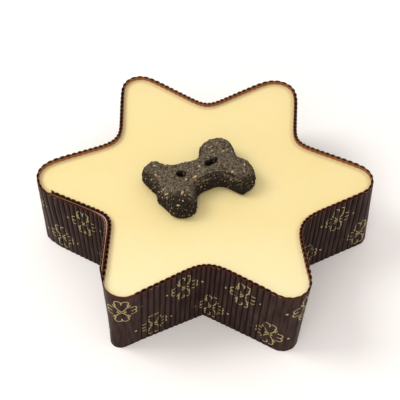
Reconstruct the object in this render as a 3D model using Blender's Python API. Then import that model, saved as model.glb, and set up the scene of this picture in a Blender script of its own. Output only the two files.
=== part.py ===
"""Star-shaped cake for a dog: an iced cake in a fluted paper baking case, with a bone-shaped biscuit on top.

Three sub-parts, each one closed solid: baking_case, iced_cake and bone_biscuit.
The cake stands upright on Z = 0, with the star's centre over the origin and one point of the star along +X.
All sizes are in millimetres and are turned into metres by MM.
"""
import math

import bmesh
import bpy
import numpy as np
from mathutils import Matrix

MM = 0.001
GAP = 0.3                   # left between two sub-parts that touch

# Paper of the baking case: a smooth liner with a fluted sheet glued outside it
CASE_HEIGHT = 35.0
LINER = 0.3
FLUTE_DEPTH = 0.85
FOOT_FLUTE_DEPTH = 0.45      # the flutes are pressed flatter where the wall meets the floor
FLUTES = 188
FLOOR = 0.6
FLUTE_SHAPE = ((0.0, 0.0), (0.28, 1.0), (0.72, 1.0))    # share of the pitch, share of the depth

# The paper strip's two ends lap on the left, in corner steps: see STAR_CORNERS
LAP_START = 6.27            # inner end of the strip, just past the left point
LAP_END = 7.65              # outer end of the strip, just before the front left point
LAP_RAMP = 0.16             # the strip eases out over its own inner end before this

# One row for each corner of the star, anticlockwise from the right point in steps of 30 degrees:
# points and inner corners in turn.  Rim radius, turn in degrees, rim fillet, base radius, base fillet.
STAR_CORNERS = (
    (79.9, 1.4, 8.3, 76.3, 5.5),
    (44.3, -0.6, 5.4, 42.7, 2.2),
    (79.7, -1.2, 9.0, 74.3, 5.5),
    (42.4, -2.1, 4.7, 41.8, 2.2),
    (77.4, -2.1, 7.1, 74.3, 5.5),
    (40.2, -1.5, 8.5, 39.2, 2.2),
    (80.2, -0.8, 9.2, 72.6, 5.5),
    (40.9, 0.3, 2.8, 40.8, 2.2),
    (76.3, 1.6, 7.9, 70.0, 3.3),
    (42.3, 4.5, 10.9, 42.4, 2.2),
    (80.7, 3.7, 7.6, 74.9, 5.5),
    (43.8, 0.6, 11.8, 42.7, 2.2),
)
BASE_TURN = 0.5             # the base turns this share of the rim's turn
RIM_SOFTNESS = 3.5          # the free rim rounds its bends over this length
BASE_SOFTNESS = 0.2

# Icing: its level, and how it climbs where it meets the paper
ICING_LEVEL = 33.3
CLIMB_HEIGHT = 0.5
CLIMB_WIDTH = 1.6

# Biscuit: its outline's corners anticlockwise as x, y and fillet, four lobes and the waist between them
BISCUIT_CORNERS = (
    (23.1, -2.8, 5.7),
    (20.3, 6.0, 6.0),
    (15.1, 8.2, 0.6),
    (11.2, 19.3, 6.7),
    (-0.9, 16.8, 7.0),
    (-1.6, 6.3, 3.8),
    (-13.3, 2.5, 5.6),
    (-19.8, 6.3, 4.0),
    (-25.8, -0.8, 4.6),
    (-17.7, -8.9, 3.0),
    (-17.4, -12.9, 3.0),
    (-8.9, -22.9, 6.6),
    (-1.1, -18.9, 6.0),
    (-1.7, -8.6, 4.5),
    (7.7, -2.7, 6.0),
    (16.5, -7.6, 3.6),
)
BISCUIT_THICKNESS = 8.6
BISCUIT_FOOT = (0.8, 1.2)       # how far its foot is drawn in, and how high that reaches
BISCUIT_SIDE = 3.2              # height at which its sides start to round over
BISCUIT_SHOULDER = 3.4          # how far in from the sides the rounding ends
BISCUIT_SHOULDER_RINGS = 5
# Docking holes pressed in the top: x, y, length, width, direction in degrees
DOCKING_HOLES = (
    (-8.0, -3.8, 4.0, 3.6, 0.0),
    (4.0, 3.3, 6.2, 2.9, 38.0),
)
HOLE_DEPTH = 4.5
HOLE_SIDES = 18

# sRGB colour, roughness
PAPER_FINISH = ((0.28, 0.19, 0.17), 0.7)
ICING_FINISH = ((1.0, 0.92, 0.70), 0.45)
BISCUIT_FINISH = ((0.26, 0.22, 0.18), 0.9)


def clear_scene():
    for item in list(bpy.data.objects):
        bpy.data.objects.remove(item, do_unlink=True)


def make_material(name, finish):
    colour, roughness = finish
    linear = [c / 12.92 if c <= 0.04045 else ((c + 0.055) / 1.055) ** 2.4 for c in colour]
    material = bpy.data.materials.new(name)
    material.use_nodes = True
    shader = material.node_tree.nodes["Principled BSDF"]
    shader.inputs["Base Color"].default_value = (*linear, 1.0)
    shader.inputs["Roughness"].default_value = roughness
    shader.inputs["Metallic"].default_value = 0.0
    return material


def rounded_outline(corners, fillets, arc_points):
    """Closed outline through the corners, each turned by an arc of its fillet: arc_points points a corner."""
    points = []
    for index, corner in enumerate(corners):
        before = corners[index - 1] - corner
        after = corners[(index + 1) % len(corners)] - corner
        before = before / np.linalg.norm(before)
        after = after / np.linalg.norm(after)
        half_angle = math.acos(before @ after) / 2
        middle = (before + after) / np.linalg.norm(before + after)
        centre = corner + middle * fillets[index] / math.sin(half_angle)
        reach = fillets[index] / math.tan(half_angle)
        first = corner + before * reach - centre
        last = corner + after * reach - centre
        start = math.atan2(first[1], first[0])
        turn = (math.atan2(last[1], last[0]) - start + math.pi) % (2 * math.pi) - math.pi
        for angle in start + turn * np.linspace(0, 1, arc_points):
            points.append(centre + fillets[index] * np.array((math.cos(angle), math.sin(angle))))
    return np.array(points)


def outward_normals(points):
    """Normals of an anticlockwise outline, pointing out of it."""
    along = np.roll(points, -1, axis=0) - np.roll(points, 1, axis=0)
    along /= np.linalg.norm(along, axis=1)[:, None]
    return np.stack((along[:, 1], -along[:, 0]), axis=1)


class StarEdge:
    """One closed edge of the star's wall, read by corner steps: 0 at the right point, 1 at the next corner."""

    ARC_POINTS = 15
    SAMPLES = 3000

    def __init__(self, radii, angles, fillets, softness):
        corners = np.stack((radii * np.cos(angles), radii * np.sin(angles)), axis=1)
        outline = rounded_outline(corners, fillets, self.ARC_POINTS)
        closed = np.vstack((outline, outline[:1]))
        reach = np.concatenate(([0.0], np.cumsum(np.linalg.norm(np.diff(closed, axis=0), axis=1))))
        self.length = reach[-1]
        places = np.arange(self.SAMPLES) / self.SAMPLES * self.length
        points = np.stack([np.interp(places, reach, closed[:, axis]) for axis in (0, 1)], axis=1)
        # A bell-shaped average along the edge, taken as a filter on its waves
        waves = np.fft.rfftfreq(self.SAMPLES, self.length / self.SAMPLES)
        fade = np.exp(-2 * (math.pi * waves * softness) ** 2)
        self.points = np.fft.irfft(np.fft.rfft(points, axis=0) * fade[:, None], self.SAMPLES, axis=0)
        self.normals = outward_normals(self.points)
        # Corner k lies at the middle of its arc
        count = len(radii)
        corner_places = reach[np.arange(count) * self.ARC_POINTS + self.ARC_POINTS // 2]
        corner_places = np.append(corner_places, corner_places[0] + self.length)
        turned = (places - corner_places[0]) % self.length + corner_places[0]
        self.steps = np.interp(turned, corner_places, np.arange(count + 1))
        self.count = count
        self.corner_places = corner_places

    def even_steps(self, count):
        """Corner steps at even distances along the edge."""
        places = self.corner_places[0] + np.arange(count) / count * self.length
        return np.interp(places, self.corner_places, np.arange(self.count + 1))

    def read(self, values, steps):
        order = np.argsort(self.steps)
        return np.stack(
            [np.interp(steps, self.steps[order], values[order, axis], period=self.count) for axis in (0, 1)],
            axis=1,
        )

    def at(self, steps, out):
        """Points of the edge at these corner steps, moved outwards by out."""
        normals = self.read(self.normals, steps)
        normals /= np.linalg.norm(normals, axis=1)[:, None]
        return self.read(self.points, steps) + normals * np.broadcast_to(out, len(steps))[:, None]


def star_edges():
    """The inner face's edge at the rim and at the base."""
    table = np.array(STAR_CORNERS)
    step = np.radians(30.0) * np.arange(len(table))
    turn = np.radians(table[:, 1])
    rim = StarEdge(table[:, 0], step + turn, table[:, 2], RIM_SOFTNESS)
    base = StarEdge(table[:, 3], step + turn * BASE_TURN, table[:, 4], BASE_SOFTNESS)
    return rim, base


def lap_offset(steps):
    """How far the strip stands out from the star's edge where it eases over its own inner end."""
    share = np.clip((steps - LAP_START + LAP_RAMP) / LAP_RAMP, 0.0, 1.0)
    return (LINER + FLUTE_DEPTH) * np.where(steps < LAP_START, share, 0.0)


def outer_offset(steps):
    """How far the crests of the flutes stand out: one layer of paper, or two in the lap."""
    layer = LINER + FLUTE_DEPTH
    lapped = (steps >= LAP_START) & (steps < LAP_END)
    return layer + lap_offset(steps) + np.where(lapped, layer, 0.0)


def wall_points(edges, height, steps, out):
    """Points on the straight lines that rule the wall from base to rim, at one height."""
    rim, base = edges
    share = height / CASE_HEIGHT
    flat = base.at(steps, out) * (1 - share) + rim.at(steps, out) * share
    return np.column_stack((flat, np.full(len(steps), height)))


def add_ring(mesh, points):
    return [mesh.verts.new(tuple(point * MM)) for point in points]


def add_band(mesh, lower, upper):
    """A band of triangles between two closed rings, all leaning one way, so that walls that touch match."""
    for index in range(len(lower)):
        following = (index + 1) % len(lower)
        mesh.faces.new((lower[index], lower[following], upper[following]))
        mesh.faces.new((lower[index], upper[following], upper[index]))


def finish_object(name, mesh, material, smooth_angle):
    """Turns the faces outwards and links the mesh as one named object."""
    bmesh.ops.recalc_face_normals(mesh, faces=mesh.faces)
    data = bpy.data.meshes.new(name)
    mesh.to_mesh(data)
    mesh.free()
    data.materials.append(material)
    data.shade_smooth()
    data.set_sharp_from_angle(angle=math.radians(smooth_angle))
    item = bpy.data.objects.new(name, data)
    bpy.context.scene.collection.objects.link(item)
    return item


def make_baking_case(edges, starts):
    """Fluted wall and flat floor in one: each flute is a groove and a broad crest from base to rim."""
    pitch = np.diff(np.append(starts, starts[0] + len(STAR_CORNERS)))
    steps = []
    lifts = []
    for share, lift in FLUTE_SHAPE:
        steps.append((starts + pitch * share) % len(STAR_CORNERS))
        lifts.append(np.full(len(starts), lift))
    steps = np.stack(steps, axis=1).ravel()
    lifts = np.stack(lifts, axis=1).ravel()
    crests = outer_offset(steps)
    inner = lap_offset(starts)

    mesh = bmesh.new()
    outer_foot = add_ring(mesh, wall_points(edges, 0.0, steps, crests - FOOT_FLUTE_DEPTH * (1 - lifts)))
    outer_rim = add_ring(mesh, wall_points(edges, CASE_HEIGHT, steps, crests - FLUTE_DEPTH * (1 - lifts)))
    inner_rim = add_ring(mesh, wall_points(edges, CASE_HEIGHT, starts, inner))
    inner_foot = add_ring(mesh, wall_points(edges, FLOOR, starts, inner))
    add_band(mesh, outer_foot, outer_rim)
    add_band(mesh, inner_foot, inner_rim)
    mesh.faces.new(outer_foot[::-1])
    mesh.faces.new(inner_foot)
    # The rim: one face over each flute
    sides = len(FLUTE_SHAPE)
    for flute in range(FLUTES):
        over = [outer_rim[(flute * sides + part) % len(outer_rim)] for part in range(sides + 1)]
        mesh.faces.new([inner_rim[(flute + 1) % FLUTES], inner_rim[flute]] + over)
    return finish_object("baking_case", mesh, make_material("brown_fluted_paper", PAPER_FINISH), 30)


def make_iced_cake(edges, starts):
    """Solid cake that fills the case, flat on top, with icing that climbs a little at the paper."""
    side = lap_offset(starts) - GAP
    mesh = bmesh.new()
    foot = add_ring(mesh, wall_points(edges, FLOOR + GAP, starts, side))
    climb = add_ring(mesh, wall_points(edges, ICING_LEVEL + CLIMB_HEIGHT, starts, side))
    rise = add_ring(mesh, wall_points(edges, ICING_LEVEL + CLIMB_HEIGHT / 4, starts, side - CLIMB_WIDTH / 2))
    level = add_ring(mesh, wall_points(edges, ICING_LEVEL, starts, side - CLIMB_WIDTH))
    for lower, upper in ((foot, climb), (climb, rise), (rise, level)):
        add_band(mesh, lower, upper)
    mesh.faces.new(foot[::-1])
    mesh.faces.new(level)
    return finish_object("iced_cake", mesh, make_material("cream_icing", ICING_FINISH), 30)


def biscuit_rings():
    """Height above its foot and distance in from the outline, for each ring of the biscuit's side."""
    foot_in, foot_height = BISCUIT_FOOT
    rings = [(0.0, foot_in), (foot_height, 0.0), (BISCUIT_SIDE, 0.0)]
    for index in range(1, BISCUIT_SHOULDER_RINGS + 1):
        angle = math.pi / 2 * index / BISCUIT_SHOULDER_RINGS
        height = BISCUIT_SIDE + (BISCUIT_THICKNESS - BISCUIT_SIDE) * math.sin(angle)
        rings.append((height, BISCUIT_SHOULDER * (1 - math.cos(angle))))
    return rings


def make_hole_cutter(index, hole, top):
    """Oval peg, tapered downwards, that presses a docking hole in the biscuit's top."""
    x, y, length, width, direction = hole
    mesh = bmesh.new()
    bmesh.ops.create_cone(
        mesh, cap_ends=True, segments=HOLE_SIDES, radius1=0.36, radius2=0.5, depth=2 * HOLE_DEPTH * MM
    )
    scale = Matrix.Diagonal((length * MM, width * MM, 1.0, 1.0))
    turn = Matrix.Rotation(math.radians(direction), 4, "Z")
    bmesh.ops.transform(mesh, matrix=turn @ scale, verts=mesh.verts)
    data = bpy.data.meshes.new("docking_peg_%d" % index)
    mesh.to_mesh(data)
    mesh.free()
    cutter = bpy.data.objects.new(data.name, data)
    cutter.location = (x * MM, y * MM, top * MM)
    cutter.hide_render = True
    cutter.display_type = "WIRE"
    bpy.context.scene.collection.objects.link(cutter)
    return cutter


def make_bone_biscuit():
    """Puffed biscuit with a rounded top edge, lying on the icing."""
    table = np.array(BISCUIT_CORNERS)
    outline = rounded_outline(table[:, :2], table[:, 2], 7)
    normals = outward_normals(outline)
    bottom = ICING_LEVEL + GAP
    mesh = bmesh.new()
    rings = []
    for height, inset in biscuit_rings():
        flat = outline - normals * inset
        rings.append(add_ring(mesh, np.column_stack((flat, np.full(len(flat), bottom + height)))))
    for lower, upper in zip(rings, rings[1:]):
        add_band(mesh, lower, upper)
    mesh.faces.new(rings[0][::-1])
    mesh.faces.new(rings[-1])
    biscuit = finish_object("bone_biscuit", mesh, make_material("charcoal_biscuit", BISCUIT_FINISH), 50)
    for index, hole in enumerate(DOCKING_HOLES):
        cut = biscuit.modifiers.new("docking_hole_%d" % index, "BOOLEAN")
        cut.operation = "DIFFERENCE"
        cut.object = make_hole_cutter(index, hole, bottom + BISCUIT_THICKNESS)
    return biscuit


def main():
    clear_scene()
    edges = star_edges()
    starts = edges[0].even_steps(FLUTES)
    make_baking_case(edges, starts)
    make_iced_cake(edges, starts)
    make_bone_biscuit()


main()
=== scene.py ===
"""Star-shaped iced cake for a dog, in a fluted paper baking case, with a bone-shaped biscuit on the icing.

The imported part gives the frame. Its three solids are dressed here: the paper wall as a printed fluted sheet
and its liner, the icing over the cake, and the biscuit with its crumb and bran flakes.
All sizes are in millimetres and are turned into metres by MM.
"""
import math

import bmesh
import bpy
import numpy as np
from mathutils import Matrix, Vector, noise


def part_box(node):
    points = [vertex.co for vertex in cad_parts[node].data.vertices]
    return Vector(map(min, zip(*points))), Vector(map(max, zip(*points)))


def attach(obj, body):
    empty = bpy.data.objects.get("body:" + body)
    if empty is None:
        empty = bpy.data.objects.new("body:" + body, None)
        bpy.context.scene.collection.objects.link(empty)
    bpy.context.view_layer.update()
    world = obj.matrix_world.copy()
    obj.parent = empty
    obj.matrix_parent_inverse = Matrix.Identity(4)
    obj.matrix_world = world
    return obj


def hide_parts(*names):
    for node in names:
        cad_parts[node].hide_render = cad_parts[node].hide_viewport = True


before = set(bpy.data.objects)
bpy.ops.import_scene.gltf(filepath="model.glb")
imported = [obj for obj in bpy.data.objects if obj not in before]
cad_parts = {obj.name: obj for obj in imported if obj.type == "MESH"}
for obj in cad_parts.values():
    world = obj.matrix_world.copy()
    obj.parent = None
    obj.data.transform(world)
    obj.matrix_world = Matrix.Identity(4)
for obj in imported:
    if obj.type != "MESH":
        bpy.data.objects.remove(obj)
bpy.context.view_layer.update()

# Paper strip of the baking case
# The real case is one strip of dyed baking paper: a thin liner with a fluted sheet glued outside it, printed
# dark brown and gold.  The strip is bent round a star-shaped former, and its ends lap on the left.
MM = 0.001
case_low, case_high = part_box("baking_case")
CASE_HEIGHT = (case_high.z - case_low.z) / MM
LINER = 0.3                 # the liner and its glue, from the star's line to the foot of the flutes
FLUTE_DEPTH = 0.85
FOOT_FLUTE_DEPTH = 0.45     # the flutes are pressed flatter at the foot
FLUTES = 188                # in one turn of the star
CREST_POWER = 0.75          # below 1 the crests are broader than the valleys
FLUTE_CROWDING = 0.9        # flutes by which they run ahead or behind between points and inner corners
FLUTE_COLUMNS = 10
SHEET_ROWS = 15
LAP_START = 6.27            # in corner steps: see STAR_CORNERS
LAP_END = 7.65
LAP_RAMP = 0.16             # the strip eases out over its own inner end before the lap starts
PAPER_THICKNESS = 0.17

# One row for each corner of the star, anticlockwise from the right point in steps of 30 degrees:
# points and inner corners in turn.  Rim radius, turn in degrees, rim fillet, base radius, base fillet.
STAR_CORNERS = np.array((
    (79.9, 1.4, 8.3, 76.3, 5.5),
    (44.3, -0.6, 5.4, 42.7, 2.2),
    (79.7, -1.2, 9.0, 74.3, 5.5),
    (42.4, -2.1, 4.7, 41.8, 2.2),
    (77.4, -2.1, 7.1, 74.3, 5.5),
    (40.2, -1.5, 8.5, 39.2, 2.2),
    (80.2, -0.8, 9.2, 72.6, 5.5),
    (40.9, 0.3, 2.8, 40.8, 2.2),
    (76.3, 1.6, 7.9, 70.0, 3.3),
    (42.3, 4.5, 10.9, 42.4, 2.2),
    (80.7, 3.7, 7.6, 74.9, 5.5),
    (43.8, 0.6, 11.8, 42.7, 2.2),
))
BASE_TURN = 0.5             # the base turns this share of the rim's turn
RIM_SOFTNESS = 3.5          # the free rim rounds its bends over this length
BASE_SOFTNESS = 0.2
# Where a point of the star pulls its flutes flat: corner, how flat, half width in corner steps
STRETCHED_POINTS = (
    (0, 0.45, 0.32),
    (2, 0.3, 0.3),
    (4, 0.3, 0.3),
    (6, 0.4, 0.3),
    (8, 0.93, 0.31),
    (10, 0.55, 0.4),
)


def rounded_outline(corners, fillets, arc_points):
    """Closed outline through the corners, each turned by an arc of its fillet of arc_points points."""
    points = []
    for index, corner in enumerate(corners):
        before = corners[index - 1] - corner
        after = corners[(index + 1) % len(corners)] - corner
        before = before / np.linalg.norm(before)
        after = after / np.linalg.norm(after)
        half_angle = math.acos(before @ after) / 2
        middle = (before + after) / np.linalg.norm(before + after)
        centre = corner + middle * fillets[index] / math.sin(half_angle)
        reach = fillets[index] / math.tan(half_angle)
        first = corner + before * reach - centre
        last = corner + after * reach - centre
        start = math.atan2(first[1], first[0])
        turn = (math.atan2(last[1], last[0]) - start + math.pi) % (2 * math.pi) - math.pi
        for angle in start + turn * np.linspace(0, 1, arc_points):
            points.append(centre + fillets[index] * np.array((math.cos(angle), math.sin(angle))))
    return np.array(points)


def outward_normals(points):
    """Normals of an anticlockwise outline, pointing out of it."""
    along = np.roll(points, -1, axis=0) - np.roll(points, 1, axis=0)
    along /= np.linalg.norm(along, axis=1)[:, None]
    return np.stack((along[:, 1], -along[:, 0]), axis=1)


class StarEdge:
    """A closed edge of the wall, read by corner steps: 0 at the right point, 1 at the next corner."""

    ARC_POINTS = 15
    SAMPLES = 3000

    def __init__(self, radii, angles, fillets, softness):
        corners = np.stack((radii * np.cos(angles), radii * np.sin(angles)), axis=1)
        outline = rounded_outline(corners, fillets, self.ARC_POINTS)
        closed = np.vstack((outline, outline[:1]))
        reach = np.concatenate(([0.0], np.cumsum(np.linalg.norm(np.diff(closed, axis=0), axis=1))))
        self.length = reach[-1]
        places = np.arange(self.SAMPLES) / self.SAMPLES * self.length
        points = np.stack([np.interp(places, reach, closed[:, axis]) for axis in (0, 1)], axis=1)
        # A bell-shaped average along the edge, taken as a filter on its waves
        waves = np.fft.rfftfreq(self.SAMPLES, self.length / self.SAMPLES)
        fade = np.exp(-2 * (math.pi * waves * softness) ** 2)
        self.points = np.fft.irfft(np.fft.rfft(points, axis=0) * fade[:, None], self.SAMPLES, axis=0)
        self.normals = outward_normals(self.points)
        # Corner k lies at the middle of its arc
        self.count = len(radii)
        corner_places = reach[np.arange(self.count) * self.ARC_POINTS + self.ARC_POINTS // 2]
        self.corner_places = np.append(corner_places, corner_places[0] + self.length)
        turned = (places - corner_places[0]) % self.length + corner_places[0]
        self.steps = np.interp(turned, self.corner_places, np.arange(self.count + 1))

    def steps_at(self, turns):
        """Corner steps at these shares of the edge's length, counted from the first corner."""
        whole = np.floor(turns)
        places = self.corner_places[0] + (turns - whole) * self.length
        return np.interp(places, self.corner_places, np.arange(self.count + 1)) + whole * self.count

    def turns_at(self, step):
        """Share of the edge's length at which this corner step lies."""
        place = np.interp(step, np.arange(self.count + 1), self.corner_places)
        return (place - self.corner_places[0]) / self.length

    def read(self, values, steps):
        order = np.argsort(self.steps)
        return np.stack(
            [np.interp(steps, self.steps[order], values[order, axis], period=self.count) for axis in (0, 1)],
            axis=1,
        )

    def at(self, steps, out=0.0):
        """Points of the edge at these corner steps, moved outwards by out."""
        return self.read(self.points, steps) + self.out_at(steps) * np.broadcast_to(out, len(steps))[:, None]

    def out_at(self, steps):
        normals = self.read(self.normals, steps)
        return normals / np.linalg.norm(normals, axis=1)[:, None]


def smooth_step(low, high, value):
    share = np.clip((value - low) / (high - low), 0.0, 1.0)
    return share * share * (3 - 2 * share)


def flute_strength(steps):
    """How deep the flutes are at these corner steps: less round the points, where the paper stretches."""
    strength = np.ones(len(steps))
    for corner, flatness, width in STRETCHED_POINTS:
        away = np.abs((steps - corner + 6) % 12 - 6)
        strength -= flatness * (1 - smooth_step(0.35 * width, width, away))
    return strength


def wave_phase(flutes, steps):
    """Flute count along the wall: the flutes crowd in the inner corners and open out at the points."""
    return flutes - FLUTE_CROWDING * np.sin(math.pi * steps)


def crest_line(phase):
    """The flutes' wave, 0 in the sharp glued valleys and 1 on the broad crests."""
    return np.abs(np.sin(math.pi * phase)) ** CREST_POWER


turn_of_corner = np.radians(30.0) * np.arange(len(STAR_CORNERS))
rim_turn = np.radians(STAR_CORNERS[:, 1])
rim_edge = StarEdge(STAR_CORNERS[:, 0], turn_of_corner + rim_turn, STAR_CORNERS[:, 2], RIM_SOFTNESS)
base_edge = StarEdge(
    STAR_CORNERS[:, 3], turn_of_corner + rim_turn * BASE_TURN, STAR_CORNERS[:, 4], BASE_SOFTNESS
)
LAYER = LINER + FLUTE_DEPTH

# The strip is counted in flutes from the right point, from its inner end once round and on over the lap
first_flute = round(float(rim_edge.turns_at(LAP_START)) * FLUTES)
last_flute = FLUTES + round(float(rim_edge.turns_at(LAP_END)) * FLUTES)
strip_flutes = first_flute + np.arange((last_flute - first_flute) * FLUTE_COLUMNS + 1) / FLUTE_COLUMNS
strip_steps = rim_edge.steps_at(strip_flutes / FLUTES)
strip_phase = wave_phase(strip_flutes, strip_steps)
strip_strength = flute_strength(strip_steps)
lap_share = np.clip((strip_steps - 12 - LAP_START + LAP_RAMP) / LAP_RAMP, 0.0, 1.0)


def linear(text):
    """Linear colour of an sRGB hex value."""
    values = [int(text[place:place + 2], 16) / 255 for place in (1, 3, 5)]
    return tuple(v / 12.92 if v <= 0.04045 else ((v + 0.055) / 1.055) ** 2.4 for v in values) + (1.0,)


def feed(tree, node, links):
    """Links each input to the output it comes from, or sets its value; a colour may be given in sRGB hex."""
    for place, source in links.items():
        if isinstance(source, bpy.types.NodeSocket):
            tree.links.new(source, node.inputs[place])
        elif isinstance(source, str) and source.startswith("#"):
            node.inputs[place].default_value = linear(source)
        else:
            node.inputs[place].default_value = source


def add(tree, kind, links=None, **settings):
    """Adds one node with its settings and feeds its inputs."""
    node = tree.nodes.new(kind)
    for setting, value in settings.items():
        setattr(node, setting, value)
    feed(tree, node, links or {})
    return node


def calculate(tree, operation, *values):
    """What one math node gives."""
    return add(tree, "ShaderNodeMath", dict(enumerate(values)), operation=operation).outputs[0]


def vector(tree, operation, *values):
    """What one vector math node gives: a vector, or a number from the operations that measure."""
    outputs = add(tree, "ShaderNodeVectorMath", dict(enumerate(values)), operation=operation).outputs
    return outputs["Value" if operation in ("LENGTH", "DISTANCE", "DOT_PRODUCT") else "Vector"]


def split(tree, source):
    """The three parts of a vector."""
    return add(tree, "ShaderNodeSeparateXYZ", {0: source}).outputs


def remap(tree, value, low, high, to_low=0.0, to_high=1.0, **settings):
    """Value moved from the range low to high onto another, and held within it."""
    places = {0: value, 1: low, 2: high, 3: to_low, 4: to_high}
    return add(tree, "ShaderNodeMapRange", places, **settings).outputs[0]


def blend(tree, share, low, high):
    """Colour between two others."""
    return add(tree, "ShaderNodeMix", {0: share, 6: low, 7: high}, data_type="RGBA").outputs[2]


def own_place(tree):
    """Place on the object that is shaded."""
    return add(tree, "ShaderNodeTexCoord").outputs["Object"]


def cloud_at(tree, place, scale, detail, roughness=0.5):
    """Soft noise from 0 to 1."""
    links = {"Vector": place, "Scale": scale, "Detail": detail, "Roughness": roughness}
    return add(tree, "ShaderNodeTexNoise", links).outputs[0]


def stored(tree, name, output="Fac"):
    """What the mesh keeps under a name at the point that is shaded."""
    return add(tree, "ShaderNodeAttribute", attribute_name=name).outputs[output]


def new_tree(name, kinds):
    """Geometry tree with these inputs after the geometry, and what comes in by them."""
    tree = bpy.data.node_groups.new(name, "GeometryNodeTree")
    for place, kind in {"Geometry": "Geometry", **kinds}.items():
        tree.interface.new_socket(place, in_out="INPUT", socket_type="NodeSocket" + kind)
    tree.interface.new_socket("Geometry", in_out="OUTPUT", socket_type="NodeSocketGeometry")
    return tree, add(tree, "NodeGroupInput").outputs


def store_field(tree, geometry, name, value, kind, domain="POINT"):
    """Keeps a field with the geometry under a name."""
    links = {"Geometry": geometry, "Name": name, "Value": value}
    return add(tree, "GeometryNodeStoreNamedAttribute", links, data_type=kind, domain=domain).outputs[0]


def end_tree(tree, geometry, material):
    """Gives what a tree has made as plain mesh in its material."""
    real = add(tree, "GeometryNodeRealizeInstances", {0: geometry}).outputs[0]
    dressed = add(tree, "GeometryNodeSetMaterial", {"Geometry": real, "Material": material}).outputs[0]
    add(tree, "NodeGroupOutput", {0: dressed})
    return tree


def link_object(name, mesh):
    piece = bpy.data.objects.new(name, mesh)
    bpy.context.scene.collection.objects.link(piece)
    return piece


def store(data, name, kind, values):
    """Keeps a value or a vector with each vertex."""
    attribute = data.attributes.new(name, kind, "POINT")
    field = "vector" if kind == "FLOAT_VECTOR" else "value"
    attribute.data.foreach_set(field, np.asarray(values, np.float32).ravel())


def set_inputs(modifier, values):
    """Sets a modifier's inputs by the names that its tree gives them."""
    for item in modifier.node_group.interface.items_tree:
        if item.in_out == "INPUT" and item.name in values:
            modifier[item.identifier] = values[item.name]


def settle(piece, sharp_angle):
    """Makes what the modifiers give into the piece's own plain mesh."""
    graph = bpy.context.evaluated_depsgraph_get()
    mesh = bpy.data.meshes.new_from_object(piece.evaluated_get(graph))
    piece.modifiers.clear()
    piece.data = mesh
    mesh.name = piece.name
    mesh.shade_smooth()
    mesh.set_sharp_from_angle(angle=math.radians(sharp_angle))


def strip_line(name, strength, crest):
    """The strip's line as loose vertices on the rim, each with its foot, its way out and its flute."""
    # Where the paper is stretched its flutes open out to the level of their crests
    rim = rim_edge.at(strip_steps, FLUTE_DEPTH * (1 - strip_strength))
    foot = base_edge.at(strip_steps, FOOT_FLUTE_DEPTH * (1 - strip_strength))
    mesh = bpy.data.meshes.new(name)
    mesh.from_pydata([(x * MM, y * MM, CASE_HEIGHT * MM) for x, y in rim], [], [])
    # Flat length of paper in each flute, as the printed outer half of its wave runs at half height
    wave = crest_line(strip_phase) * strip_strength * (FLUTE_DEPTH + FOOT_FLUTE_DEPTH) / 4
    half = (rim + foot) / 2 + rim_edge.out_at(strip_steps) * wave[:, None]
    length = np.concatenate(([0.0], np.cumsum(np.linalg.norm(np.diff(half, axis=0), axis=1))))
    length = np.interp(strip_flutes, strip_flutes[::FLUTE_COLUMNS], length[::FLUTE_COLUMNS])
    flat = np.gradient(length, strip_flutes)
    printed = strip_flutes + PRINT_SLIP * smooth_step(*PRINT_SLIP_SPAN, strip_flutes)
    nothing = np.zeros(len(rim))
    vectors = {
        "foot": np.column_stack((foot * MM, nothing)),
        "rim_out": np.column_stack((rim_edge.out_at(strip_steps), nothing)),
        "foot_out": np.column_stack((base_edge.out_at(strip_steps), nothing)),
        "flute": np.column_stack((strip_phase, strength, LAYER * MM * lap_share)),
        "paper": np.column_stack((printed, flat, crest)),
    }
    for key, values in vectors.items():
        store(mesh, key, "FLOAT_VECTOR", values)
    return link_object(name, mesh)


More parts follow.
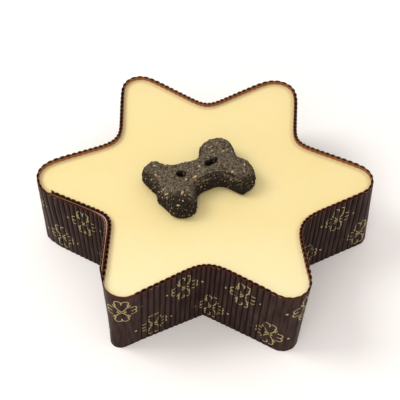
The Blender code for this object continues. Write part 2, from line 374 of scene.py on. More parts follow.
def paper_sheet_tree():
    """Nodes that make one sheet of the strip: a grid laid along the strip's line and waved in flutes."""
    tree, given = new_tree("paper_sheet", {
        "Columns": "Int", "Rows": "Int", "Rim Depth": "Float", "Foot Depth": "Float", "Depth Start": "Float",
        "Crest Power": "Float", "Stand Off": "Float", "Height": "Float", "Unevenness": "Float",
        "Paper": "Material",
    })
    grid = add(
        tree, "GeometryNodeMeshGrid", {"Vertices X": given["Columns"], "Vertices Y": given["Rows"]}
    )
    index = add(tree, "GeometryNodeInputIndex")
    nudged = calculate(tree, "ADD", index.outputs[0], 0.5)
    lines = calculate(tree, "DIVIDE", nudged, given["Rows"])
    column = calculate(tree, "FLOOR", lines)
    row = calculate(tree, "MODULO", index.outputs[0], given["Rows"])
    spans = calculate(tree, "SUBTRACT", given["Rows"], 1.0)
    up = calculate(tree, "DIVIDE", row, spans)

    read = {}
    fields = {"rim": add(tree, "GeometryNodeInputPosition").outputs[0]}
    for name in ("foot", "rim_out", "foot_out", "flute", "paper"):
        fields[name] = add(
            tree, "GeometryNodeInputNamedAttribute", {"Name": name}, data_type="FLOAT_VECTOR"
        ).outputs[0]
    for name, field in fields.items():
        read[name] = add(
            tree, "GeometryNodeSampleIndex",
            {"Geometry": given["Geometry"], "Value": field, "Index": column},
            data_type="FLOAT_VECTOR",
        ).outputs[0]
    line, out = [
        add(tree, "ShaderNodeMix", {0: up, 4: read[low], 5: read[high]}, data_type="VECTOR").outputs[1]
        for low, high in (("foot", "rim"), ("foot_out", "rim_out"))
    ]
    out = vector(tree, "NORMALIZE", out)
    flute = split(tree, read["flute"])
    paper = split(tree, read["paper"])

    # The flute's wave: sharp glued valleys and broad crests
    angle = calculate(tree, "MULTIPLY", flute[0], math.pi)
    sine = calculate(tree, "SINE", angle)
    arch = calculate(tree, "ABSOLUTE", sine)
    crest = calculate(tree, "POWER", arch, given["Crest Power"])
    strong = calculate(tree, "MULTIPLY", crest, flute[1])
    depth = remap(
        tree, up, given["Depth Start"], 1.0, given["Foot Depth"], given["Rim Depth"],
        interpolation_type="SMOOTHSTEP",
    )
    wave = calculate(tree, "MULTIPLY", strong, depth)
    laid = calculate(tree, "ADD", wave, flute[2])
    placed = calculate(tree, "ADD", laid, given["Stand Off"])

    # Paper is never quite even
    swing = calculate(tree, "SUBTRACT", cloud_at(tree, line, UNEVEN_SCALE, 2.0), 0.5)
    swell = calculate(tree, "MULTIPLY", swing, given["Unevenness"])
    away = calculate(tree, "ADD", placed, swell)
    place = vector(tree, "ADD", line, vector(tree, "MULTIPLY", out, away))
    bent = add(tree, "GeometryNodeSetPosition", {"Geometry": grid.outputs["Mesh"], "Position": place})
    height = calculate(tree, "MULTIPLY", up, given["Height"])
    spot = add(tree, "ShaderNodeCombineXYZ", {0: paper[0], 1: height, 2: paper[1]}).outputs[0]
    marked = store_field(tree, bent.outputs[0], "on_paper", spot, "FLOAT_VECTOR")
    shaded = store_field(tree, marked, "crest", paper[2], "FLOAT")
    return end_tree(tree, shaded, given["Paper"])


UNEVEN_SCALE = 90.0         # waves a metre: the paper's own slow unevenness
SHEET_UNEVENNESS = 0.25
LINER_BULGE = 0.45          # how far the liner bellies in between two glue lines at the free rim
LINER_BULGE_START = 0.86    # share of the height from which it does
LINER_SQUEEZE = 1.5         # under the lap it bellies in this much further
# Painted shade on the liner's edge under the lap
LAP_EDGE_SHADE = 0.45         # least share of a crest's dark tone on the liner's edge there
# Flutes by which the print runs ahead on the far side, and the flutes over which it does
PRINT_SLIP = 4.8
PRINT_SLIP_SPAN = (205.0, 268.0)
# Steps over which the strip's outer end turns to bare paper behind its print, where it was to be glued
GLUE_MARGIN = (6.78, 6.98)
# Steps over which that bare paper turns most of the way back to the colours around it, and how far
MARGIN_FADE = (7.12, 7.32)
MARGIN_FADE_SHARE = 0.8

paper_tree = paper_sheet_tree()


def make_sheet(name, papers, strength, crest, sizes):
    """One sheet of the strip, as thick as paper: papers are those of its outside, edge and inside."""
    sheet = strip_line(name, strength, crest)
    nodes = sheet.modifiers.new("sheet", "NODES")
    nodes.node_group = paper_tree
    set_inputs(nodes, {
        "Columns": len(strip_flutes), "Rows": SHEET_ROWS, "Height": CASE_HEIGHT, "Paper": papers[0],
        "Crest Power": CREST_POWER, **sizes,
    })
    settle(sheet, 180)
    sheet.data.materials.append(papers[1])
    sheet.data.materials.append(papers[2])
    shell = sheet.modifiers.new("thickness", "SOLIDIFY")
    shell.thickness = PAPER_THICKNESS * MM
    shell.offset = -1.0
    shell.material_offset = 2
    shell.material_offset_rim = 1
    settle(sheet, 35)
    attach(sheet, "root")
    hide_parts("baking_case")


# Print on the outside: counted in flutes along the strip, and in millimetres of flat paper within a flower
PRINT_PITCH = 10.66         # from one flower to the next in a row, in flutes
PRINT_START = 3.98          # flute where the lowest row has a flower
PRINT_ROWS = 16.4           # from one row up to the next, which is set half a pitch on
PRINT_FOOT = 8.6            # height of the lowest row
PRINT_LINE = 0.21           # half width of the printed line
PETAL_BELOW = 0.92          # the lower heart is this much of the upper one
# A quarter of the flower as arcs of line: centre x and y, radius, direction it faces and spread, in degrees
PRINT_ARCS = (
    (1.35, 5.6, 1.35, 75.0, 135.0),
    (-4.0, 5.5, 6.6, -26.6, 26.0),
    (4.6, 1.2, 1.2, 0.0, 92.0),
    (4.3, -30.0, 30.0, 90.0, 1.2),
    (4.1, -27.6, 30.0, 90.0, 1.4),
    (20.7, -5.7, 20.0, 153.0, 2.8),
    (1.3, -29.8, 30.0, 90.0, 0.9),
)
PRINT_DOT = (8.0, 0.0, 0.6)    # dot beside the flower: x, y, radius
RUBBED_BAND = 3.0           # under the rim, where the ink is rubbed thin
RUBBED_SHARE = 0.6


def gold_print(tree):
    """Share of gold ink: rows of small four-petalled flowers, each row set half a pitch on."""
    along, height, flat = split(tree, stored(tree, "on_paper", "Vector"))
    lifted = calculate(tree, "SUBTRACT", height, PRINT_FOOT)
    rows = calculate(tree, "DIVIDE", lifted, PRINT_ROWS)
    row = calculate(tree, "ROUND", rows)
    y = calculate(tree, "MULTIPLY_ADD", row, -PRINT_ROWS, lifted)
    started = calculate(tree, "SUBTRACT", along, PRINT_START)
    pitches = calculate(tree, "DIVIDE", started, PRINT_PITCH)
    set_on = calculate(tree, "MULTIPLY_ADD", row, 0.5, pitches)
    centred = calculate(tree, "ADD", set_on, 0.5)
    share = calculate(tree, "FRACT", centred)
    middle = calculate(tree, "SUBTRACT", share, 0.5)
    pitch = calculate(tree, "MULTIPLY", flat, PRINT_PITCH)
    x = calculate(tree, "MULTIPLY", middle, pitch)
    across = calculate(tree, "ABSOLUTE", x)
    # The lower half repeats the upper one, a little smaller
    below = calculate(tree, "MULTIPLY", y, -1.0 / PETAL_BELOW)
    upright = calculate(tree, "MAXIMUM", y, below)
    place = add(tree, "ShaderNodeCombineXYZ", {0: across, 1: upright}).outputs[0]
    far = vector(tree, "DISTANCE", place, (PRINT_DOT[0], PRINT_DOT[1], 0.0))
    ink = remap(tree, far, 0.7 * PRINT_DOT[2], PRINT_DOT[2], 1.0, 0.0)
    for centre_x, centre_y, radius, facing, spread in PRINT_ARCS:
        way = math.radians(facing)
        reach = vector(tree, "SUBTRACT", place, (centre_x, centre_y, 0.0))
        far = vector(tree, "LENGTH", reach)
        off = calculate(tree, "SUBTRACT", far, radius)
        gap = calculate(tree, "ABSOLUTE", off)
        line = remap(tree, gap, 0.6 * PRINT_LINE, 1.2 * PRINT_LINE, 1.0, 0.0)
        facing_part = vector(tree, "DOT_PRODUCT", reach, (math.cos(way), math.sin(way), 0.0))
        needed = calculate(tree, "MULTIPLY", far, math.cos(math.radians(spread)))
        inside = calculate(tree, "GREATER_THAN", facing_part, needed)
        stroke = calculate(tree, "MULTIPLY", line, inside)
        ink = calculate(tree, "MAXIMUM", ink, stroke)
    return ink


def new_material(name):
    material = bpy.data.materials.new(name)
    material.use_nodes = True
    return material, material.node_tree, material.node_tree.nodes["Principled BSDF"]


def glue_margin(tree):
    """Share of bare paper near the strip's outer end."""
    along = split(tree, stored(tree, "on_paper", "Vector"))[0]
    shares = []
    for steps in (GLUE_MARGIN, MARGIN_FADE):
        low, high = [float(rim_edge.turns_at(step) + 1) * FLUTES + PRINT_SLIP for step in steps]
        shares.append(remap(tree, along, low, high))
    left = calculate(tree, "MULTIPLY_ADD", shares[1], -MARGIN_FADE_SHARE, shares[0])
    return calculate(tree, "MAXIMUM", left, 0.0)


def make_printed_paper():
    """Baking paper, offset printed in flat dark brown and gold ink: a faint satin skin over paper fibre."""
    material, tree, shader = new_material("printed_baking_paper")
    spot = stored(tree, "on_paper", "Vector")
    # Each flute takes the light a little differently, in long streaks
    streak = cloud_at(tree, vector(tree, "MULTIPLY", spot, (1.0, 0.06, 0.0)), 1.7, 3.0)
    brown = blend(tree, remap(tree, streak, 0.3, 0.7), "#20120f", "#43302b")
    # Under the rim the ink is rubbed thin and the red-brown dye shows
    height = split(tree, spot)[1]
    rubbed = remap(
        tree, height, CASE_HEIGHT - RUBBED_BAND, CASE_HEIGHT - PAPER_THICKNESS, 0.0, RUBBED_SHARE,
        interpolation_type="SMOOTHSTEP",
    )
    brown = blend(tree, rubbed, brown, "#4c1811")
    inked = blend(tree, gold_print(tree), brown, "#b0a070")
    # Painted shade darkens the narrow valleys
    lit = remap(tree, stored(tree, "crest"), 0.34, 0.78, interpolation_type="SMOOTHSTEP")
    shaded = blend(tree, lit, "#160705", inked)
    fibre = cloud_at(tree, own_place(tree), 900.0, 3.0, 0.6)
    bump = add(tree, "ShaderNodeBump", {"Height": fibre, "Strength": 0.25, "Distance": 0.05 * MM})
    # The sheen is a dusty grey bloom, seen along the face of the ink
    feed(tree, shader, {
        "Base Color": shaded, "Normal": bump.outputs[0], "Roughness": 0.6, "Specular IOR Level": 0.06,
        "Sheen Weight": 0.16, "Sheen Roughness": 0.3, "Sheen Tint": "#e8dcd6",
    })
    return material


def make_dyed_paper(name, dark, light):
    """The unprinted side of the same paper, dyed through between two browns, painted darker as shade inside
    the tubes.
    """
    material, tree, shader = new_material(name)
    brown = blend(tree, cloud_at(tree, own_place(tree), 300.0, 3.0), dark, light)
    paper = blend(tree, glue_margin(tree), brown, "#d0a894")
    feed(tree, shader, {"Base Color": paper, "Roughness": 0.7})
    return material


def make_cut_paper():
    """Cut edge of the liner: pale fibre without dye at the glue lines, painted dark over the crests as shade.
    """
    material, tree, shader = new_material("cut_liner_edge")
    tan = blend(tree, cloud_at(tree, own_place(tree), 250.0, 2.0), "#8e5e34", "#cc9a68")
    # Painted shade: over the crests the edge is dark, as the tube openings behind it lie in shade
    glued = remap(tree, stored(tree, "crest"), 0.25, 0.55, 1.0, 0.1)
    edge = blend(tree, glued, "#3a1c10", tan)
    bare = blend(tree, glue_margin(tree), edge, "#e8cabc")
    feed(tree, shader, {"Base Color": bare, "Roughness": 0.85})
    return material


def make_printed_edge():
    """Cut edge of the printed sheet: ink has run into it, so it is dark red-brown."""
    material, tree, shader = new_material("cut_printed_edge")
    edge = blend(tree, glue_margin(tree), "#4e2412", "#8c5a4a")
    feed(tree, shader, {"Base Color": edge, "Roughness": 0.85})
    return material


printed_paper = make_printed_paper()
# The liner's face towards the cake is rust brown with fat. The flutes' inner face and the liner's outer face,
# which face each other inside the tubes, are painted darker browns as shade there, the liner's face darkest
dyed_paper = make_dyed_paper("dyed_liner_paper", "#80440f", "#a86418")
inner_paper = make_dyed_paper("dyed_flute_paper", "#5a2e12", "#764519")
tube_shade_liner_paper = make_dyed_paper("glued_flute_paper", "#3a1c0e", "#502c16")
cut_paper = make_cut_paper()

make_sheet(
    "fluted_sheet", (printed_paper, make_printed_edge(), inner_paper), strip_strength,
    1 - strip_strength * (1 - crest_line(strip_phase)),
    {
        "Rim Depth": (FLUTE_DEPTH - PAPER_THICKNESS) * MM,
        "Foot Depth": (FOOT_FLUTE_DEPTH - PAPER_THICKNESS) * MM,
        "Depth Start": 0.0,
        "Stand Off": (LINER + PAPER_THICKNESS) * MM,
        "Unevenness": SHEET_UNEVENNESS * MM,
    },
)
under_lap = strip_steps < LAP_END
liner_strength = strip_strength * (1 - lap_share) * np.where(under_lap, LINER_SQUEEZE, 1.0)
liner_crest = crest_line(strip_phase) * np.minimum(liner_strength, 1.0)
# Under the lap the liner's edge is painted darker, as the tube openings there lie in shade under the layer
# outside it
liner_crest = np.where(under_lap, LAP_EDGE_SHADE + (1 - LAP_EDGE_SHADE) * liner_crest, liner_crest)
make_sheet(
    "liner", (tube_shade_liner_paper, cut_paper, dyed_paper), liner_strength, liner_crest,
    {
        "Rim Depth": -LINER_BULGE * MM,
        "Foot Depth": 0.0,
        "Depth Start": LINER_BULGE_START,
        "Stand Off": PAPER_THICKNESS * MM,
        "Unevenness": 0.0,
    },
)

# Floor of the baking case
# The real case's floor is the same paper, cut to the star and glued under the wall.  It isn't seen in use.
CASE_FLOOR = 0.6
FLOOR_GAP = 0.03            # the wall's foot stands this much proud of it


def make_case_floor():
    """Flat star of paper that closes the wall's foot."""
    turns = np.arange(FLUTES * 4) / (FLUTES * 4)
    steps = base_edge.steps_at(turns)
    edge = base_edge.at(steps, LINER)
    low = [(x * MM, y * MM, FLOOR_GAP * MM) for x, y in edge]
    high = [(x * MM, y * MM, CASE_FLOOR * MM) for x, y in edge]
    count = len(edge)
    middles = [(0.0, 0.0, FLOOR_GAP * MM), (0.0, 0.0, CASE_FLOOR * MM)]
    faces = []
    for index in range(count):
        following = (index + 1) % count
        faces.append((index, following, following + count, index + count))
        faces.append((following, index, 2 * count))
        faces.append((index + count, following + count, 2 * count + 1))
    mesh = bpy.data.meshes.new("case_floor")
    mesh.from_pydata(low + high + middles, [], faces)
    mesh.materials.append(dyed_paper)
    return link_object("case_floor", mesh)


case_floor = make_case_floor()
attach(case_floor, "root")
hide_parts("baking_case")

# Icing and cake
# The real cake is baked in the case and covered to just under the rim with a poured layer of yoghurt icing,
# which sets smooth and satin and keeps a low fillet where it wetted the paper.
ICING_LEVEL = 33.3
CLIMB_HEIGHT = 0.5
CAKE_FOOT = 0.9
CAKE_GAP = 0.05             # between the cake and the liner
ICING_COLUMNS = 6           # for each flute
ICING_SWELL = 0.12          # the poured surface is level to within this
# Rings in from the paper: distance in, and share of the climb left there
CLIMB_RINGS = ((0.0, 1.0), (0.25, 0.72), (0.55, 0.46), (0.95, 0.22), (1.5, 0.07), (2.2, 0.0), (3.2, 0.0))
CENTRE_RINGS = 26


def lap_offset(steps):
    """How far the strip stands out from the star's line where it eases over its own inner end."""
    share = np.clip((steps - LAP_START + LAP_RAMP) / LAP_RAMP, 0.0, 1.0)
    return LAYER * np.where(steps < LAP_START, share, 0.0)


def ring_at(height, steps, out):
    share = height / CASE_HEIGHT
    return base_edge.at(steps, out) * (1 - share) + rim_edge.at(steps, out) * share


def make_icing_material():
    """Set yoghurt icing: fat and sugar with a satin skin; light sinks in a little and rounds its shadows."""
    material, tree, shader = new_material("set_yoghurt_icing")
    here = own_place(tree)
    cream = blend(tree, cloud_at(tree, here, 28.0, 3.0), "#f4de9c", "#f7e5ab")
    # Painted shade near the paper, warm brown as the wall shades the icing and tints the light on it
    paper_shade_share = remap(tree, stored(tree, "from_paper"), 0.0, 2.6, 0.5, 0.0, interpolation_type="SMOOTHERSTEP")
    paper_shaded_cream = blend(tree, paper_shade_share, cream, "#c8966a")
    # Painted light: the icing is painted a little paler towards the front, as if more light fell there
    painted_front_light = remap(tree, split(tree, here)[1], -20 * MM, -62 * MM, 0.0, 0.75)
    feed(tree, shader, {
        "Base Color": blend(tree, painted_front_light, paper_shaded_cream, "#fbf0c4"), "Roughness": 0.42, "Subsurface Weight": 0.5,
        "Subsurface Radius": (1.0, 0.62, 0.3), "Subsurface Scale": 2.5 * MM,
    })
    return material


def join_rings(mesh, rings):
    """Closes the skin between each ring of vertices and the next."""
    for lower, upper in zip(rings, rings[1:]):
        for index in range(len(lower)):
            following = (index + 1) % len(lower)
            mesh.faces.new((lower[index], lower[following], upper[following], upper[index]))


def make_icing():
    """The whole cake as one closed skin: foot, side, the climb at the paper and the level top."""
    turns = np.arange(FLUTES * ICING_COLUMNS) / (FLUTES * ICING_COLUMNS)
    steps = rim_edge.steps_at(turns)
    strength = flute_strength(steps)
    belly = LINER_BULGE * crest_line(wave_phase(turns * FLUTES, steps)) * strength
    lap = lap_offset(steps)
    mesh = bmesh.new()
    rings = []
    for height in (CAKE_FOOT, CASE_HEIGHT * LINER_BULGE_START):
        # Where the paper is stretched the cake fills the room of its flutes
        flute_depth = FOOT_FLUTE_DEPTH + (FLUTE_DEPTH - FOOT_FLUTE_DEPTH) * height / CASE_HEIGHT
        room = flute_depth * (1 - strength) - CAKE_GAP
        flat = ring_at(height, steps, lap + room)
        rings.append(np.column_stack((flat, np.full(len(flat), height))))
    share = smooth_step(LINER_BULGE_START, 1.0, ICING_LEVEL / CASE_HEIGHT)
    for inset, climb in CLIMB_RINGS:
        height = ICING_LEVEL + CLIMB_HEIGHT * climb
        # The paper's own shape fades out of the rings as they leave it
        near = 1 - inset / CLIMB_RINGS[-1][0]
        flat = ring_at(height, steps, (lap - belly * share) * near + room - inset)
        rings.append(np.column_stack((flat, np.full(len(flat), height))))
    last = rings[-1][:, :2]
    for step in range(1, CENTRE_RINGS):
        flat = last * (1 - step / CENTRE_RINGS)
        rings.append(np.column_stack((flat, np.full(len(flat), ICING_LEVEL))))
    verts = [[mesh.verts.new(tuple(point * MM)) for point in ring] for ring in rings]
    join_rings(mesh, verts)
    foot_middle = mesh.verts.new((0.0, 0.0, CAKE_FOOT * MM))
    middle = mesh.verts.new((0.0, 0.0, ICING_LEVEL * MM))
    for index in range(len(steps)):
        following = (index + 1) % len(steps)
        mesh.faces.new((verts[0][following], verts[0][index], foot_middle))
        mesh.faces.new((verts[-1][index], verts[-1][following], middle))
    for vert in mesh.verts:
        if vert.co.z > (ICING_LEVEL - 1) * MM:
            vert.co.z += ICING_SWELL * MM * noise.noise(vert.co * 45.0)
    bmesh.ops.recalc_face_normals(mesh, faces=mesh.faces)
    data = bpy.data.meshes.new("icing")
    mesh.to_mesh(data)
    mesh.free()
    # How far each point lies from the paper, for the painted shade near it
    from_paper = np.full(len(data.vertices), CLIMB_RINGS[-1][0])
    for index, (inset, _) in enumerate(CLIMB_RINGS):
        from_paper[(index + 2) * len(steps):(index + 3) * len(steps)] = inset
    from_paper[:2 * len(steps)] = 0.0
    store(data, "from_paper", "FLOAT", from_paper)
    data.materials.append(make_icing_material())
    data.shade_smooth()
    data.set_sharp_from_angle(angle=math.radians(50))
    return link_object("icing", data)


icing = make_icing()
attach(icing, "root")
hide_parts("iced_cake")

# Bone biscuit
# The real biscuit is a stamped charcoal dough with bran and seed in it, baked hard: it puffs between its two
# docking holes, its edges round over and its skin is dry, pitted and speckled.
biscuit_low, biscuit_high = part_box("bone_biscuit")
# Corners of its outline anticlockwise as x, y and fillet, four lobes and the waist between them
BISCUIT_CORNERS = np.array((
    (23.1, -2.8, 5.7),
    (20.3, 6.0, 6.0),
    (15.1, 8.2, 0.6),
    (11.3, 19.9, 6.7),
    (-0.9, 17.5, 7.0),
    (-1.6, 6.3, 3.8),
    (-13.3, 2.5, 5.6),
    (-19.8, 6.3, 4.0),
    (-25.8, -0.8, 4.6),
    (-17.7, -8.9, 3.0),
    (-17.4, -12.9, 2.4),
    (-8.9, -22.9, 6.6),
    (-1.1, -18.9, 6.0),
    (-1.7, -8.6, 4.5),
    (7.7, -2.7, 6.0),
    (16.8, -8.4, 2.2),
))
BISCUIT_FOOT = (0.8, 1.2)       # how far its foot is drawn in, and how high that reaches
BISCUIT_SIDE = 3.2              # height at which its sides start to round over
BISCUIT_SHOULDER = 3.4          # how far in from the sides the rounding ends
BISCUIT_SHOULDER_RINGS = 8
# Docking holes pressed in the top: x, y, length, width, direction in degrees
DOCKING_HOLES = (
    (-8.0, -3.8, 4.0, 3.6, 0.0),
    (4.0, 3.3, 6.2, 2.9, 38.0),
)
HOLE_DEPTH = 5.5
# Where the skin has gone and the open crumb shows, also painted dark as shade: x, y, inner radius, outer
# radius, share
OPEN_CRUMB = (
    (-8.5, -21.0, 4.5, 9.0, 1.0),
    (19.0, -8.5, 2.5, 7.0, 0.7),
    (-24.0, -6.5, 2.0, 7.0, 0.7),
)
# Small pits in its skin: x, y, radius, depth
PITS = (
    (-15.8, -0.3, 1.0, 1.0),
    (9.4, -0.8, 0.9, 0.8),
    (-1.5, -1.7, 0.9, 0.6),
)
CRUMB_VOXEL = 0.3
# Relief of the skin: height, and waves to a millimetre
SKIN_SWELL = (0.35, 0.17)
SKIN_GRAIN = ((0.3, 0.8), (0.3, 1.7), (0.16, 4.1))
CRUMB_SINK = 0.25               # open crumb lies this much below the skin


def make_biscuit_material():
    """Charcoal dough baked dry: matt grey-brown, with pale and rust-coloured specks of bran in the skin."""
    material, tree, shader = new_material("baked_charcoal_dough")
    here = own_place(tree)
    cloud = remap(tree, cloud_at(tree, here, 900.0, 5.0, 0.7), 0.36, 0.64)
    dough = blend(tree, cloud, "#15100b", "#7c6e5a")
    cells = add(tree, "ShaderNodeTexVoronoi", {"Vector": here, "Scale": 1150.0})
    chosen = add(tree, "ShaderNodeSeparateColor", {0: cells.outputs["Color"]}).outputs
    rare = calculate(tree, "GREATER_THAN", chosen[0], 0.74)
    shrink = calculate(tree, "MULTIPLY_ADD", chosen[2], 2.2, 0.8)
    reach = calculate(tree, "MULTIPLY", cells.outputs["Distance"], shrink)
    near = remap(tree, reach, 0.25, 0.55, 1.0, 0.0)
    speck = calculate(tree, "MULTIPLY", rare, near)
    bran = blend(tree, chosen[1], "#7e6840", "#c4b088")
    # Painted shade: the sides and lower edges, facing away from the light, are painted darker than the top,
    # and so is the open crumb
    rise = split(tree, add(tree, "ShaderNodeNewGeometry").outputs["Normal"])[2]
    side = remap(tree, rise, 0.92, 0.3, 0.0, 0.95, interpolation_type="SMOOTHSTEP")
    crumb_shade = calculate(tree, "MULTIPLY", stored(tree, "crumb"), 0.85)
    painted_shade = calculate(tree, "MAXIMUM", side, crumb_shade)
    dough = blend(tree, painted_shade, dough, "#1a0f05")
    skin = blend(tree, speck, dough, bran)
    grain = cloud_at(tree, here, 1300.0, 4.0)
    bump = add(tree, "ShaderNodeBump", {"Height": grain, "Strength": 1.0, "Distance": 0.4 * MM})
    feed(tree, shader, {
        "Base Color": skin, "Normal": bump.outputs[0], "Roughness": 0.85, "Specular IOR Level": 0.25,
    })
    return material


def make_biscuit():
    outline = rounded_outline(BISCUIT_CORNERS[:, :2], BISCUIT_CORNERS[:, 2], 9)
    normals = outward_normals(outline)
    bottom = biscuit_low.z / MM
    thickness = (biscuit_high.z - biscuit_low.z) / MM
    foot_in, foot_height = BISCUIT_FOOT
    rings = [(0.0, foot_in), (foot_height, 0.0), (BISCUIT_SIDE, 0.0)]
    for index in range(1, BISCUIT_SHOULDER_RINGS + 1):
        angle = math.pi / 2 * index / BISCUIT_SHOULDER_RINGS
        height = BISCUIT_SIDE + (thickness - BISCUIT_SIDE) * math.sin(angle)
        rings.append((height, BISCUIT_SHOULDER * (1 - math.cos(angle))))
    mesh = bmesh.new()
    layers = []
    for height, inset in rings:
        flat = outline - normals * inset
        layers.append([mesh.verts.new((x * MM, y * MM, (bottom + height) * MM)) for x, y in flat])
    join_rings(mesh, layers)
    mesh.faces.new(layers[0][::-1])
    mesh.faces.new(layers[-1])
    bmesh.ops.recalc_face_normals(mesh, faces=mesh.faces)
    data = bpy.data.meshes.new("biscuit")
    mesh.to_mesh(data)
    mesh.free()
    biscuit = link_object("biscuit", data)
    crumb = biscuit.modifiers.new("crumb", "REMESH")
    crumb.mode = "VOXEL"
    crumb.voxel_size = CRUMB_VOXEL * MM
    settle(biscuit, 180)
    relief(biscuit.data, bottom)
    biscuit.data.materials.append(make_biscuit_material())
    return biscuit


def relief(data, bottom):
    """Presses the holes and pits and raises the crumb, point by point."""
    count = len(data.vertices)
    places = np.empty(count * 3, np.float32)
    normals = np.empty(count * 3, np.float32)
    data.vertices.foreach_get("co", places)
    data.vertex_normals.foreach_get("vector", normals)
    places = places.reshape(-1, 3) / MM
    normals = normals.reshape(-1, 3)
    moves = np.zeros_like(places)
    crumb = np.zeros(count)
    for x, y, inner, outer, share in OPEN_CRUMB:
        away = np.hypot(places[:, 0] - x, places[:, 1] - y)
        crumb = np.maximum(crumb, share * (1 - smooth_step(inner, outer, away)))
    store(data, "crumb", "FLOAT", crumb)
    for index in np.flatnonzero(places[:, 2] - bottom > 0.4):
        place = Vector(places[index])
        swell = SKIN_SWELL[0] * noise.noise(place * SKIN_SWELL[1])
        grain = sum(height * noise.noise(place * waves) for height, waves in SKIN_GRAIN)
        moves[index] = normals[index] * (swell + grain * (1 + crumb[index]) - CRUMB_SINK * crumb[index])
    pressed = normals[:, 2] > 0.3
    for x, y, length, width, direction in DOCKING_HOLES:
        turn = math.radians(direction)
        dx = places[:, 0] - x
        dy = places[:, 1] - y
        long = (dx * math.cos(turn) + dy * math.sin(turn)) / (length / 2)
        wide = (dy * math.cos(turn) - dx * math.sin(turn)) / (width / 2)
        away = np.hypot(long, wide)
        moves[:, 2] -= np.where(pressed, HOLE_DEPTH * (1 - smooth_step(0.75, 1.1, away)), 0.0)
    for x, y, radius, depth in PITS:
        away = np.hypot(places[:, 0] - x, places[:, 1] - y) / radius
        moves[:, 2] -= np.where(pressed, depth * np.clip(1 - away * away, 0.0, 1.0), 0.0)
    data.vertices.foreach_set("co", ((places + moves) * MM).astype(np.float32).ravel())
    data.update()
    data.shade_smooth()


biscuit = make_biscuit()
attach(biscuit, "root")
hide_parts("bone_biscuit")

# Bran flakes in the biscuit
# The real ones are husk and seed in the dough, part sunk in the skin: a few large pale or rust flakes and
# many small ones.
FLAKE_DENSITY = 90000.0     # a square metre
FLAKE_LENGTHS = (0.4, 1.3)
FLAKE_SEED = 7
# The large flakes: x, y, length, direction in degrees
LARGE_FLAKES = (
    (-7.3, -14.2, 2.7, 5.0),
    (-13.5, -14.6, 2.0, -10.0),
    (12.7, -2.4, 2.1, 10.0),
    (-0.8, 0.3, 1.9, 15.0),
    (3.8, 11.7, 1.8, 95.0),
    (8.9, 9.2, 2.2, 0.0),
    (-18.9, 0.4, 1.8, 60.0),
    (-2.3, -5.5, 2.1, 10.0),
    (-1.3, -12.4, 1.7, 30.0),
    (-5.8, -7.0, 1.8, -20.0),
    (14.0, -9.0, 2.0, 20.0),
    (-18.3, -4.6, 1.6, 0.0),
    (17.5, 1.5, 1.7, 40.0),
    (20.6, -6.5, 1.6, 70.0),
    (-8.5, -19.5, 1.9, -30.0),
)


def make_flake():
    """One flake as an uneven seven-sided chip, a millimetre long."""
    mesh = bmesh.new()
    bmesh.ops.create_cone(
        mesh, cap_ends=True, segments=7, radius1=0.5 * MM, radius2=0.32 * MM, depth=0.25 * MM
    )
    for vert in mesh.verts:
        vert.co.y *= 0.55
        vert.co += Vector((0.07, 0.05, 0.02)) * MM * noise.noise(vert.co / MM * 3.0)
    data = bpy.data.meshes.new("flake")
    mesh.to_mesh(data)
    mesh.free()
    return link_object("flake", data)


def flake_tree():
    """Nodes that scatter flakes over the biscuit's skin, turned and sized at random."""
    tree, given = new_tree("bran_flakes", {
        "Flake": "Object", "Density": "Float", "Smallest": "Float", "Largest": "Float", "Seed": "Int",
        "Bran": "Material",
    })

    def draw(high, seed):
        """A number from 0 to high for each point."""
        links = {2: 0.0, 3: high, "Seed": seed}
        return add(tree, "FunctionNodeRandomValue", links, data_type="FLOAT").outputs[1]

    normal = add(tree, "GeometryNodeInputNormal").outputs[0]
    skin = calculate(tree, "GREATER_THAN", split(tree, normal)[2], -0.2)
    points = add(
        tree, "GeometryNodeDistributePointsOnFaces",
        {"Mesh": given["Geometry"], "Selection": skin, "Density": given["Density"], "Seed": given["Seed"]},
        distribute_method="RANDOM",
    )
    rare = calculate(tree, "POWER", draw(1.0, given["Seed"]), 5.0)
    size = remap(tree, rare, 0.0, 1.0, given["Smallest"], given["Largest"])
    turned = add(tree, "ShaderNodeCombineXYZ", {2: draw(2 * math.pi, FLAKE_SEED + 1)}).outputs[0]
    twist = add(tree, "FunctionNodeEulerToRotation", {0: turned}).outputs[0]
    facing = add(
        tree, "FunctionNodeRotateRotation", {0: points.outputs["Rotation"], 1: twist}, rotation_space="LOCAL"
    ).outputs[0]
    flake = add(tree, "GeometryNodeObjectInfo", {0: given["Flake"]}).outputs["Geometry"]
    placed = add(
        tree, "GeometryNodeInstanceOnPoints",
        {"Points": points.outputs["Points"], "Instance": flake, "Rotation": facing, "Scale": size},
    ).outputs[0]
    toned = store_field(tree, placed, "tone", draw(1.0, FLAKE_SEED + 2), "FLOAT", "INSTANCE")
    return end_tree(tree, toned, given["Bran"])


def make_bran_material():
    """Toasted bran: dry husk, from straw to rust."""
    material, tree, shader = new_material("toasted_bran")
    colours = add(tree, "ShaderNodeValToRGB", {0: stored(tree, "tone")})
    stops = ((0.0, "#a98055"), (0.35, "#d0a878"), (0.6, "#b3a684"), (0.85, "#9c6a3c"))
    ramp = colours.color_ramp
    while len(ramp.elements) < len(stops):
        ramp.elements.new(0.5)
    for element, (place, text) in zip(ramp.elements, stops):
        element.position = place
        element.color = linear(text)
    feed(tree, shader, {"Base Color": colours.outputs[0], "Roughness": 0.75})
    return material


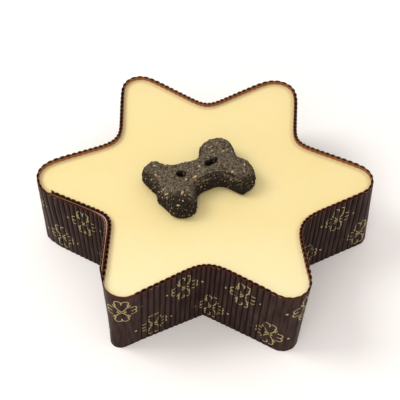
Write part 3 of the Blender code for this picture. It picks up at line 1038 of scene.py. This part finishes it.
def make_large_flakes(chip):
    """The few large flakes, each pressed into the skin at its own place."""
    mesh = bmesh.new()
    tones = []
    for index, (x, y, length, direction) in enumerate(LARGE_FLAKES):
        found, place, normal, _ = biscuit.ray_cast(Vector((x * MM, y * MM, 0.1)), Vector((0.0, 0.0, -1.0)))
        if not found:
            continue
        lie = normal.to_track_quat("Z", "Y").to_matrix().to_4x4()
        turn = Matrix.Rotation(math.radians(direction), 4, "Z")
        size = Matrix.Diagonal((length, length * 0.8, length * 0.7, 1.0))
        before = len(mesh.verts)
        mesh.from_mesh(chip.data)
        mesh.verts.ensure_lookup_table()
        seat = Matrix.Translation(place) @ lie @ turn @ size
        bmesh.ops.transform(mesh, matrix=seat, verts=mesh.verts[before:])
        tones += [0.2 + 0.45 * (index * 0.618 % 1)] * (len(mesh.verts) - before)
    data = bpy.data.meshes.new("large_flakes")
    mesh.to_mesh(data)
    mesh.free()
    store(data, "tone", "FLOAT", tones)
    return link_object("large_flakes", data)


bran = make_bran_material()
flake = make_flake()
large_flakes = make_large_flakes(flake)
large_flakes.data.materials.append(bran)
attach(large_flakes, "root")
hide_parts("bone_biscuit")
flakes = link_object("bran_flakes", biscuit.data.copy())
scatter = flakes.modifiers.new("scatter", "NODES")
scatter.node_group = flake_tree()
set_inputs(scatter, {
    "Flake": flake, "Density": FLAKE_DENSITY, "Smallest": FLAKE_LENGTHS[0], "Largest": FLAKE_LENGTHS[1],
    "Seed": FLAKE_SEED, "Bran": bran,
})
settle(flakes, 30)
bpy.data.objects.remove(flake, do_unlink=True)
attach(flakes, "root")
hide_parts("bone_biscuit")

# Floor, light and camera
# The cake stands on a plain white table, in soft light from all round, with a large lamp at the left and a
# weaker one in front.
FLOOR_SIZE = 3.0


def make_floor():
    material, tree, shader = new_material("white_table")
    # The table glows a little, as one lit from below does
    feed(tree, shader, {
        "Base Color": "#fcfbfa", "Roughness": 0.9, "Emission Color": "#ffe4d4", "Emission Strength": 0.1,
    })
    mesh = bpy.data.meshes.new("table")
    half = FLOOR_SIZE / 2
    corners = [(-half, -half, 0), (half, -half, 0), (half, half, 0), (-half, half, 0)]
    mesh.from_pydata(corners, [], [(0, 1, 2, 3)])
    mesh.materials.append(material)
    return link_object("table", mesh)


def add_lamp(name, place, size, power, colour):
    """Square soft lamp that faces the cake."""
    lamp = bpy.data.lights.new(name, "AREA")
    lamp.size = size
    lamp.energy = power
    lamp.color = linear(colour)[:3]
    item = bpy.data.objects.new(name, lamp)
    item.location = place
    item.rotation_euler = (-Vector(place)).to_track_quat("-Z", "Y").to_euler()
    bpy.context.scene.collection.objects.link(item)


make_floor()
add_lamp("window", (-0.74, 0.1, 0.85), 0.5, 5.0, "#fffdf8")
add_lamp("front_fill", (-0.1, -0.6, 0.55), 0.5, 1.2, "#fffaf8")
world = bpy.data.worlds.new("studio")
bpy.context.scene.world = world
world.use_nodes = True
feed(world.node_tree, world.node_tree.nodes["Background"], {"Color": "#f8f5f3", "Strength": 0.78})
bpy.context.scene.view_settings.view_transform = "Standard"

# The camera stands 48.5 degrees above the table; these sizes were worked out from the case's edges
CAMERA_PLACE = (-0.161, -310.3, 372.2)
CAMERA_TILT = 41.49
STAR_TURN = 1.25            # the star stands turned by this against the camera
CAMERA_LENS = 100.49
turn = math.radians(STAR_TURN)
camera_data = bpy.data.cameras.new("camera")
camera_data.lens = CAMERA_LENS
camera_data.sensor_width = 36.0
camera_data.shift_x = -0.0022
camera_data.shift_y = 0.0025
camera = bpy.data.objects.new("camera", camera_data)
camera.location = Matrix.Rotation(turn, 3, "Z") @ Vector(CAMERA_PLACE) * MM
camera.rotation_euler = (math.radians(CAMERA_TILT), 0.0, turn)
bpy.context.scene.collection.objects.link(camera)
bpy.context.scene.camera = camera
